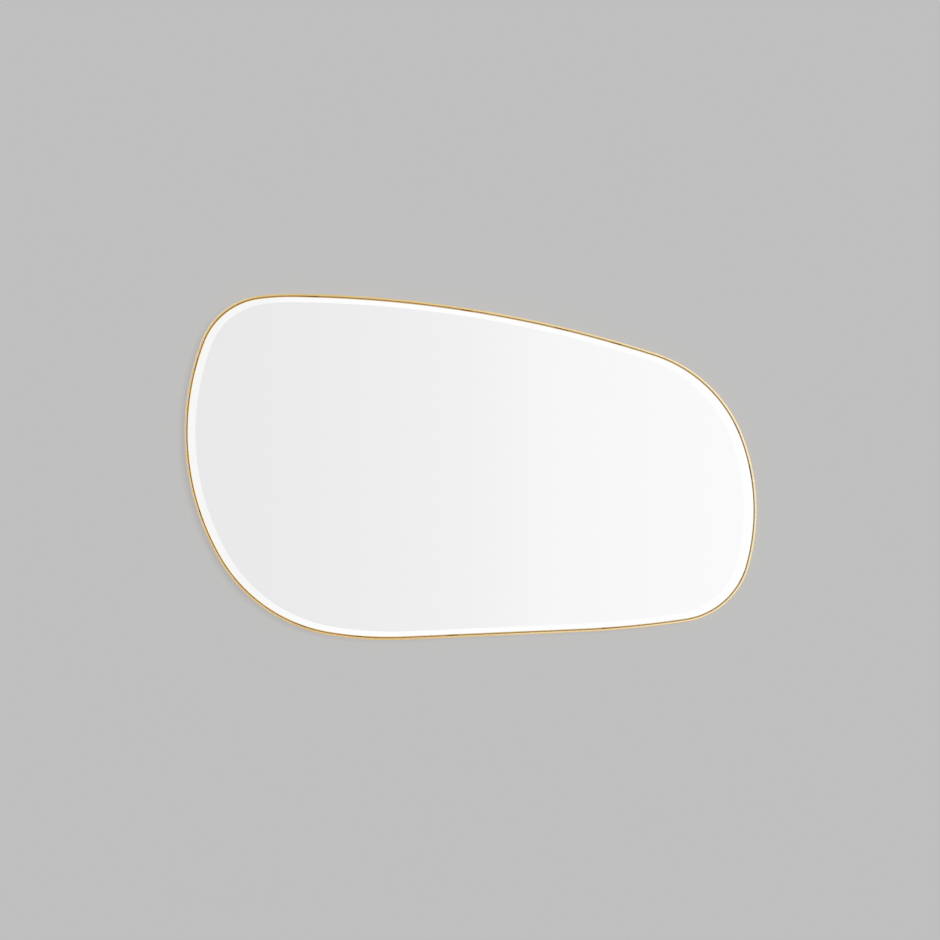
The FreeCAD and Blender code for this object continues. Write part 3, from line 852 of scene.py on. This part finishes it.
def build_splice():
    """Plate inside the strip, behind its seam."""
    inner = SEAT_INSET + SPLICE_THICKNESS
    corners = [
        (SEAT_INSET, SPLICE_BACK_Y, EDGE_SOFTENING),
        (SEAT_INSET, SPLICE_FRONT_Y, EDGE_SOFTENING),
        (inner, SPLICE_FRONT_Y, EDGE_SOFTENING),
        (inner, SPLICE_BACK_Y, EDGE_SOFTENING),
    ]
    bm = swept_band(corners, SEAM_DISTANCE - SPLICE_LENGTH / 2, SPLICE_LENGTH)
    finished(bm, "seam_splice_plate", "seam_splice", [GOLD])


def build_pane():
    """Glass with an upright ground edge and a polished bevel up to a crisp ridge."""
    bm = layered([
        (GLASS_INSET + GLASS_ARRIS, GLASS_BACK_Y),
        (GLASS_INSET, GLASS_BACK_Y - GLASS_ARRIS),
        (GLASS_INSET, BEVEL_EDGE_Y),
        (GLASS_INSET + BEVEL_WIDTH, GLASS_FRONT_Y, BEVEL_EXTRA_AT_SIDES, RIDGE_TO_LEFT),
    ])

    def mirror_or_edge(face):
        return 0 if face.normal.y < -0.5 else 1

    finished(
        bm, "mirror_pane", "mirror_glass", [MIRROR_FACE, GLASS_EDGE],
        sharp=RIDGE_SHARP_ANGLE, material_of=mirror_or_edge,
    )


def build_board():
    """Board with rounded edges, front and back."""
    loops = []
    for side, edge_y, first, last in ((-1, BOARD_FRONT_Y, 90, 0), (1, BOARD_BACK_Y, 0, 90)):
        middle_y = edge_y - side * BOARD_EDGE_ROUNDING
        for step in range(BOARD_EDGE_STEPS + 1):
            angle = math.radians(first + (last - first) * step / BOARD_EDGE_STEPS)
            inset = BOARD_INSET + BOARD_EDGE_ROUNDING * (1 - math.cos(angle))
            loops.append((inset, middle_y + side * BOARD_EDGE_ROUNDING * math.sin(angle)))
    finished(layered(loops), "back_board", "backing_board", [FIBREBOARD])


def build_clip(index, distance):
    """Angle clip of bent sheet: a leg by the rim's wall, and a foot on the back of the board."""
    place = place_along(distance)
    bend = STRETCHES[stretch_at(distance)[0]][1]
    half_width = CLIP_WIDTH / 2
    hollow = half_width ** 2 / (2 * (bend.radius - SEAT_INSET)) if bend else 0.0
    leg_x = -SEAT_INSET - hollow
    foot_y = BOARD_BACK_Y + CLIP_THICKNESS
    foot_x = -SEAT_INSET - CLIP_FOOT
    leg_y = BOARD_BACK_Y - CLIP_LEG
    path = [(leg_x, leg_y), (leg_x, foot_y), (foot_x, foot_y)]
    bm = bmesh.new()
    verts = [bm.verts.new((x, y, -half_width)) for x, y in path]
    edges = [bm.edges.new(pair) for pair in zip(verts, verts[1:])]
    made = bmesh.ops.extrude_edge_only(bm, edges=edges)["geom"]
    bmesh.ops.translate(bm, verts=only(bmesh.types.BMVert, made), vec=(0, 0, CLIP_WIDTH))
    fold = [edge for edge in bm.edges if len(edge.link_faces) == 2]
    softened(bm, fold, CLIP_BEND_ROUNDING, CLIP_BEND_STEPS)
    ends = [
        vert for vert in bm.verts
        if vert.co.x < foot_x + SAME_POINT or vert.co.y < leg_y + SAME_POINT
    ]
    rounded(bm, ends, CLIP_CORNER_ROUNDING, CLIP_CORNER_STEPS)
    bmesh.ops.recalc_face_normals(bm, faces=bm.faces)
    bmesh.ops.solidify(bm, geom=bm.faces, thickness=CLIP_THICKNESS)
    softened(bm, sharp_edges(bm, CREASE_ANGLE), EDGE_SOFTENING)
    turned = Matrix.Rotation(math.radians(-place.facing), 4, "Y")
    shifted = Matrix.Translation((place.x, 0, place.z))
    bmesh.ops.transform(bm, matrix=shifted @ turned, verts=bm.verts)
    name = "%02d" % (index + 1)
    finished(bm, "clip_" + name, "board_clip_" + name, [GOLD_SHEET])


def screw_shape():
    """Pan-head screw along Y, its head behind y = 0, with a tapered cross recess."""
    flat_radius = SCREW_HEAD_RADIUS - SCREW_HEAD_ROUNDING
    side_y = SCREW_HEAD_HEIGHT - SCREW_HEAD_ROUNDING
    profile = corner_arc(flat_radius, side_y, SCREW_HEAD_ROUNDING, 90, 0)
    profile += [
        (SCREW_HEAD_RADIUS, SCREW_HEAD_ARRIS),
        (SCREW_HEAD_RADIUS - SCREW_HEAD_ARRIS, 0.0),
        (SCREW_RADIUS, 0.0),
        (SCREW_RADIUS, SCREW_TIP - SCREW_REACH),
        (SCREW_TIP_RADIUS, -SCREW_REACH),
        (0.0, -SCREW_REACH),
    ]
    bm = lathed(profile, SCREW_STEPS)
    rim = [edge for edge in bm.edges if len(edge.link_faces) == 1]
    wide, long = RECESS_HALF_WIDTH, RECESS_HALF_LENGTH
    quarter = [(long, -wide), (long, wide), (wide, wide)]
    verts = []
    for turn in range(4):
        turned = Matrix.Rotation(math.radians(90 * turn), 2)
        for x, z in quarter:
            point = turned @ Vector((x, z))
            verts.append(bm.verts.new((point.x, SCREW_HEAD_HEIGHT, point.y)))
    cross = [bm.edges.new(pair) for pair in zip(verts, verts[1:] + verts[:1])]
    bmesh.ops.triangle_fill(bm, edges=rim + cross, use_beauty=True)
    made = bmesh.ops.extrude_edge_only(bm, edges=cross)["geom"]
    floor_verts = only(bmesh.types.BMVert, made)
    bmesh.ops.translate(bm, verts=floor_verts, vec=(0, -RECESS_DEPTH, 0))
    bmesh.ops.scale(bm, vec=(RECESS_FLOOR_SHARE, 1.0, RECESS_FLOOR_SHARE), verts=floor_verts)
    bmesh.ops.holes_fill(bm, edges=only(bmesh.types.BMEdge, made), sides=0)
    return bm


def build_screws(name, node, places, seat_y):
    """All the screws of one kind in one piece, each stopped at its own angle."""
    shifts = []
    for index, (x, z) in enumerate(places):
        stopped_at = Matrix.Rotation(math.radians(SCREW_STOP_ANGLE * index), 4, "Y")
        shifts.append(Matrix.Translation((x, seat_y, z)) @ stopped_at)
    finished(copies(screw_shape(), shifts), name, node, [ZINC])


def build_strap(side_name, side):
    """Strap on the board, rolled round the ring's bar at its upper end."""
    x = side * HOOK_SPACING / 2
    end_z = PIVOT_Z - STRAP_LENGTH
    bm = bmesh.new()
    ends_x = (x - STRAP_WIDTH / 2, x + STRAP_WIDTH / 2)
    edge = bm.edges.new([bm.verts.new((end_x, BOARD_BACK_Y, end_z)) for end_x in ends_x])
    made = bmesh.ops.extrude_edge_only(bm, edges=[edge])["geom"]
    upper = only(bmesh.types.BMVert, made)
    bmesh.ops.translate(bm, verts=upper, vec=(0, 0, STRAP_LENGTH))
    bmesh.ops.spin(
        bm,
        geom=upper + only(bmesh.types.BMEdge, made),
        cent=(x, BOARD_BACK_Y + BARREL_RADIUS, PIVOT_Z),
        axis=-ALONG_X,
        angle=math.radians(STRAP_ROLL_ANGLE),
        steps=STRAP_ROLL_STEPS,
    )
    ends = [vert for vert in bm.verts if vert.co.z < end_z + SAME_POINT]
    rounded(bm, ends, STRAP_END_ROUNDING, STRAP_END_STEPS)
    bmesh.ops.recalc_face_normals(bm, faces=bm.faces)
    bmesh.ops.solidify(bm, geom=bm.faces, thickness=STRAP_THICKNESS)
    softened(bm, sharp_edges(bm, CREASE_ANGLE), EDGE_SOFTENING)
    name = "hanger_strap_" + side_name
    finished(bm, "strap_" + side_name, name, [ZINC])


def build_ring(side_name, side):
    """Wire ring: bar, two round corners, two straight sides and a half-round bow."""
    half_bar = RING_HALF_WIDTH - RING_CORNER_RADIUS
    bow_z = RING_CORNER_RADIUS + RING_STRAIGHT
    bm = bmesh.new()
    across = Matrix.Rotation(math.radians(90), 4, "Y")
    bmesh.ops.create_circle(bm, segments=WIRE_STEPS, radius=WIRE_RADIUS, matrix=across)
    edges = list(bm.edges)
    moves = [  # a shift in one step, or a turn about a centre in many
        (Vector((half_bar, 0, 0)), None, 1),
        (Vector((half_bar, 0, RING_CORNER_RADIUS)), 90, RING_CORNER_STEPS),
        (Vector((0, 0, RING_STRAIGHT)), None, 1),
        (Vector((0, 0, bow_z)), 180, RING_BOW_STEPS),
        (Vector((0, 0, -RING_STRAIGHT)), None, 1),
        (Vector((-half_bar, 0, RING_CORNER_RADIUS)), 90, RING_CORNER_STEPS),
        (Vector((half_bar, 0, 0)), None, 1),
    ]
    for vector, turn, count in moves:
        for step in range(count):
            made = bmesh.ops.extrude_edge_only(bm, edges=edges)["geom"]
            section = only(bmesh.types.BMVert, made)
            edges = only(bmesh.types.BMEdge, made)
            if turn:
                turned = Matrix.Rotation(math.radians(turn / count), 3, TOWARDS_VIEWER)
                bmesh.ops.rotate(bm, verts=section, cent=vector, matrix=turned)
            else:
                bmesh.ops.translate(bm, verts=section, vec=vector)
    bmesh.ops.remove_doubles(bm, verts=bm.verts, dist=SAME_POINT)
    lean = Matrix.Rotation(math.radians(RING_LEAN_ANGLE), 4, "X")
    pivot = Matrix.Translation((side * HOOK_SPACING / 2, PIVOT_Y, PIVOT_Z))
    bmesh.ops.transform(bm, matrix=pivot @ lean, verts=bm.verts)
    name = "hanger_ring_" + side_name
    finished(bm, "ring_" + side_name, name, [ZINC], body="ring_" + side_name)


def build_bumper(name, facing):
    """Rubber bumper with a shallow dish in the end that meets the wall."""
    place = place_facing(facing, BUMPER_INSET)
    height = -BOARD_BACK_Y
    arc_radius = BUMPER_RADIUS - BUMPER_TAPER - BUMPER_ROUNDING
    profile = [(0.0, 0.0)] + [(BUMPER_RADIUS - inset, y) for inset, y in BUMPER_FOOT]
    profile += corner_arc(arc_radius, height - BUMPER_ROUNDING, BUMPER_ROUNDING, 0, 90)
    profile += [(radius, height - depth) for radius, depth in BUMPER_DISH]
    bm = lathed(profile, BUMPER_STEPS)
    bmesh.ops.translate(bm, verts=bm.verts, vec=(place.x, BOARD_BACK_Y, place.z))
    finished(bm, "bumper_" + name, "wall_bumper_" + name, [RUBBER])


def dress(node_name, material):
    """Gives a node of the part its material as it stands."""
    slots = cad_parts[node_name].data.materials
    slots.clear()
    slots.append(material)


build_rim()
build_splice()
build_pane()
build_board()
for index, distance in enumerate(CLIP_DISTANCES):
    build_clip(index, distance)
clip_screw_places = [
    place_along(distance, SEAT_INSET + CLIP_HOLE_INSET)[:2] for distance in CLIP_DISTANCES
]
hanger_screw_places = [
    (side * HOOK_SPACING / 2, PIVOT_Z - below)
    for side in HANGER_SIDES.values()
    for below in STRAP_SCREWS_BELOW_PIVOT
]
build_screws("clip_screw_set", "clip_screws", clip_screw_places, BOARD_BACK_Y + CLIP_THICKNESS)
build_screws(
    "hanger_screw_set", "hanger_screws", hanger_screw_places, BOARD_BACK_Y + STRAP_THICKNESS
)
for side_name, side in HANGER_SIDES.items():
    build_strap(side_name, side)
    build_ring(side_name, side)
for name, facing in BUMPER_FACINGS.items():
    build_bumper(name, facing)
dress("silver_layer", SILVER_COAT)
dress("safety_film", FILM)
dress("mounting_tape", FOAM)
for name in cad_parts:
    if name.startswith("edge_pad_"):
        dress(name, DARK_PAD)


# ---- Room: wall, floor and lamps ----
WALL_TONE = 0.521
FLOOR_TONE = 0.80
ROOM_SHADING = 0.20
FLOOR_Z = -1.2
ROOM_HALF_WIDTH = 4.0

# Each lamp's name, the way it shines, strength, spread in degrees, and if the mirror shows it.
LAMPS = [
    ("key", (-0.40, 1.00, -0.12), 2.9, 28, False),
    ("back upper left", (0.75, -0.50, -0.60), 1.3, 60, True),
    ("back upper right", (-0.80, -0.45, -0.40), 0.8, 60, True),
    ("back below", (0.10, -0.55, 0.80), 0.4, 60, True),
]


def grey(level):
    return (level, level, level, 1)


def stage_plane(name, corners, material):
    """Plane of the room that only the camera sees."""
    bm = bmesh.new()
    bm.faces.new([bm.verts.new(corner) for corner in corners])
    mesh = bpy.data.meshes.new(name)
    bm.to_mesh(mesh)
    bm.free()
    mesh.materials.append(material)
    plane = bpy.data.objects.new(name, mesh)
    bpy.context.scene.collection.objects.link(plane)
    for ray in ("visible_diffuse", "visible_glossy", "visible_transmission", "visible_shadow"):
        setattr(plane, ray, False)


def make_room_surface(name, tone):
    """Even tone for the camera with a share of real light and shade; clear from behind."""
    material = bpy.data.materials.new(name)
    material.use_nodes = True
    tree = material.node_tree
    tree.nodes.clear()
    even = place_node(tree, "ShaderNodeEmission", Color=grey(tone), Strength=1.0).outputs[0]
    lit = place_node(tree, "ShaderNodeBsdfDiffuse", Color=grey(tone)).outputs[0]
    both = place_node(tree, "ShaderNodeMixShader", _0=ROOM_SHADING, _1=even, _2=lit).outputs[0]
    behind = tree.nodes.new("ShaderNodeNewGeometry").outputs["Backfacing"]
    clear = tree.nodes.new("ShaderNodeBsdfTransparent").outputs[0]
    seen = place_node(tree, "ShaderNodeMixShader", _0=behind, _1=both, _2=clear).outputs[0]
    place_node(tree, "ShaderNodeOutputMaterial", Surface=seen)
    return material


def build_room():
    half, low = ROOM_HALF_WIDTH, FLOOR_Z
    wall_corners = [(-half, 0, low), (half, 0, low), (half, 0, half), (-half, 0, half)]
    floor_corners = [(-half, -half, low), (half, -half, low), (half, half, low), (-half, half, low)]
    stage_plane("wall", wall_corners, make_room_surface("wall paint", WALL_TONE))
    stage_plane("floor", floor_corners, make_room_surface("floor", FLOOR_TONE))


def build_lamps():
    """Soft distant lamps: a key from the right for the front, and three for the back."""
    for name, towards, strength, spread, mirrored in LAMPS:
        sun = bpy.data.lights.new(name, "SUN")
        sun.energy = strength
        sun.angle = math.radians(spread)
        lamp = bpy.data.objects.new(name, sun)
        lamp.rotation_euler = Vector(towards).to_track_quat("-Z", "Y").to_euler()
        lamp.visible_glossy = mirrored
        bpy.context.scene.collection.objects.link(lamp)


# ---- Surroundings: what lights the pieces, and what the mirror shows ----
AMBIENT = 0.15
AMBIENT_BEHIND = 0.18
SEEN_PALE = 0.93
AHEAD_LEVEL = 1.0
AROUND_LEVEL = 1.012
LEFT_DIMMING = 0.147
LEFT_DIMMING_AZIMUTH = -8.4
LEFT_DIMMING_WIDTH = 11.2
STEP_DIMMING = 0.02
FAR_LEFT_DIMMING = 0.065
GLOW_FACING = 25.0
GLOW_COLOUR = (1.7, 2.3, 3.2, 1)
ABOVE_LEVEL = 0.55
LEFT_LEVEL = 0.95
BELOW_LEVEL = 0.25
WINDOW_DIRECTION = (0.90, -0.30, 0.30)
WINDOW_COLOUR = (0.8925, 1.05, 1.26, 1)
STRAIGHT_BEHIND_COLOUR = (0.20, 0.155, 0.10, 1)
ROUND_BEHIND_COLOUR = (0.80, 0.78, 0.75, 1)

# Where each part of the surroundings sets in and is full. Azimuths and heights are in degrees from
# the way the mirror faces, and so is the glow's distance. The rest are shares of a unit direction.
STEP_AZIMUTHS = (0.2, 1.7)
FAR_LEFT_AZIMUTHS = (-2.0, -9.0)
FAR_LEFT_HEIGHTS = (-32.0, -18.0)
GLOW_INNER_EDGE = (9.0, 10.5)
GLOW_OUTER_EDGE = (19.5, 18.0)
GLOW_LEAN = (0.1, 0.9)
AROUND_EDGE = (0.985, 0.93)
SIDEWAYS_EDGE = (0.77, 0.5)
LEFT_EDGE = (-0.2, -0.8)
BELOW_EDGE = (-0.4, -0.85)
WINDOW_EDGE = (0.25, 0.85)
ROOM_EDGE = (-0.15, 0.05)
STRAIGHT_BEHIND_EDGE = (0.99, 0.965)


def room_ahead(tree, ahead, azimuth, height):
    """Pale room ahead: a soft dimming to the left, and a cool glow in a ring to the upper right."""
    off = math_of(tree, "SUBTRACT", azimuth, LEFT_DIMMING_AZIMUTH)
    off = math_of(tree, "DIVIDE", off, LEFT_DIMMING_WIDTH)
    bell = math_of(tree, "EXPONENT", product_of(tree, product_of(tree, off, off), -1.0))
    dim = product_of(tree, bell, LEFT_DIMMING)
    dim = total_of(tree, dim, range_of(tree, azimuth, *STEP_AZIMUTHS, STEP_DIMMING, 0.0))
    middle = math_of(tree, "SUBTRACT", AHEAD_LEVEL, dim)
    far_left = product_of(
        tree, range_of(tree, azimuth, *FAR_LEFT_AZIMUTHS), range_of(tree, height, *FAR_LEFT_HEIGHTS)
    )
    around = math_of(tree, "SUBTRACT", AROUND_LEVEL, product_of(tree, far_left, FAR_LEFT_DIMMING))
    front = value_between(tree, range_of(tree, ahead, *AROUND_EDGE), middle, around)
    squares = total_of(tree, product_of(tree, azimuth, azimuth), product_of(tree, height, height))
    away = math_of(tree, "SQRT", squares)
    band = product_of(
        tree, range_of(tree, away, *GLOW_INNER_EDGE), range_of(tree, away, *GLOW_OUTER_EDGE)
    )
    glow_x, glow_z = direction(GLOW_FACING)
    lean = total_of(tree, product_of(tree, azimuth, glow_x), product_of(tree, height, glow_z))
    lean = math_of(tree, "DIVIDE", lean, away)
    glow = product_of(tree, band, range_of(tree, lean, *GLOW_LEAN))
    return blend_of(tree, glow, front, GLOW_COLOUR)


def build_world():
    """Even light on the pieces and a pale backdrop. Reflections have surroundings of their own.

    Those are the room ahead; to its sides a dimmer room, paler to the left and dark below, with a
    window to the right; and behind the wall a pale surround, dark straight behind.
    """
    world = bpy.data.worlds.new("studio")
    bpy.context.scene.world = world
    world.use_nodes = True
    tree = world.node_tree
    tree.nodes.clear()
    towards = tree.nodes.new("ShaderNodeTexCoord").outputs["Generated"]
    parts = place_node(tree, "ShaderNodeSeparateXYZ", _0=towards).outputs
    x, y, z = parts["X"], parts["Y"], parts["Z"]
    ahead = product_of(tree, y, -1.0)
    azimuth = math_of(tree, "DEGREES", math_of(tree, "ARCTAN2", x, ahead))
    height = math_of(tree, "DEGREES", math_of(tree, "ARCSINE", z))

    side = blend_of(tree, range_of(tree, x, *LEFT_EDGE), grey(ABOVE_LEVEL), grey(LEFT_LEVEL))
    side = blend_of(tree, range_of(tree, z, *BELOW_EDGE), side, grey(BELOW_LEVEL))
    window = range_of(tree, dot_of(tree, towards, WINDOW_DIRECTION), *WINDOW_EDGE)
    side = blend_of(tree, window, side, WINDOW_COLOUR)
    front = room_ahead(tree, ahead, azimuth, height)
    room = blend_of(tree, range_of(tree, ahead, *SIDEWAYS_EDGE), front, side)
    off_straight = range_of(tree, y, *STRAIGHT_BEHIND_EDGE)
    behind = blend_of(tree, off_straight, STRAIGHT_BEHIND_COLOUR, ROUND_BEHIND_COLOUR)
    from_room = range_of(tree, ahead, *ROOM_EDGE)
    reflected = blend_of(tree, from_room, behind, room)
    ambient = value_between(tree, from_room, AMBIENT_BEHIND, AMBIENT)

    rays = tree.nodes.new("ShaderNodeLightPath").outputs
    lit, seen, mirrored = [
        place_node(tree, "ShaderNodeBackground", Color=colour, Strength=strength).outputs[0]
        for colour, strength in ((grey(1), ambient), (grey(1), SEEN_PALE), (reflected, 1.0))
    ]
    for ray, other in (("Is Glossy Ray", mirrored), ("Is Camera Ray", seen)):
        lit = place_node(tree, "ShaderNodeMixShader", _0=rays[ray], _1=lit, _2=other).outputs[0]
    place_node(tree, "ShaderNodeOutputWorld", Surface=lit)


# ---- Camera: square on to the wall, a touch below the mirror's middle ----
CAMERA_LENS = 85.0
SENSOR_WIDTH = 36.0
CAMERA_PLACE = (-0.0009, -3.9085, -0.1554)


def build_camera():
    camera = bpy.data.cameras.new("camera")
    camera.lens = CAMERA_LENS
    camera.sensor_width = SENSOR_WIDTH
    holder = bpy.data.objects.new("camera", camera)
    holder.location = CAMERA_PLACE
    holder.rotation_euler = (math.radians(90), 0, 0)
    bpy.context.scene.collection.objects.link(holder)
    bpy.context.scene.camera = holder


build_room()
build_lamps()
build_world()
build_camera()
bpy.context.scene.view_settings.view_transform = "Standard"
